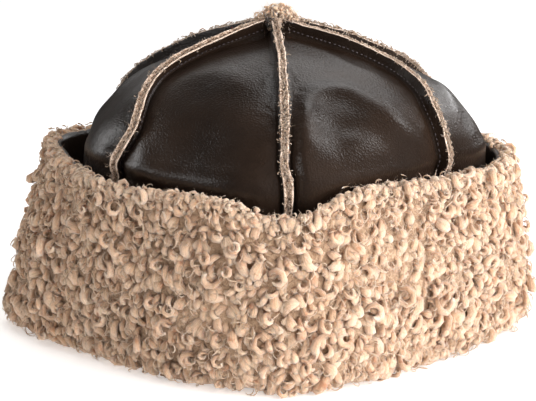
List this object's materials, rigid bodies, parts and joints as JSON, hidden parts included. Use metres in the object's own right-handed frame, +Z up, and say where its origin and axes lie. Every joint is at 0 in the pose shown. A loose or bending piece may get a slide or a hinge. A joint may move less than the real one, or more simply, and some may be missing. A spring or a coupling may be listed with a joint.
{
  "type": "sheepskin hat",
  "caption": "Leather hat with raised seams, a small wool tuft at the peak and a deep turned-up cuff of curly wool, open below for the head.",
  "frame": {"origin": "on the surface that the hat rests on, under the middle of its outline", "axes": "+Z up through the crown, -Y out of the front seam, +X towards the wearer's left"},
  "size_m": [0.2645, 0.2444, 0.1604],
  "materials": {
    "dark_leather": "semi-gloss, fine grain, soft creases, pale cut edges",
    "curly_wool": "dense curled sheep's wool, matt with a soft sheen"
  },
  "bodies": {
    "root": {"crown_gore_1": "dark_leather", "crown_gore_2": "dark_leather", "crown_gore_3": "dark_leather", "crown_gore_4": "dark_leather", "crown_gore_5": "dark_leather", "crown_gore_6": "dark_leather", "cuff": "curly_wool", "peak_tuft": "curly_wool"}
  },
  "joints": []
}
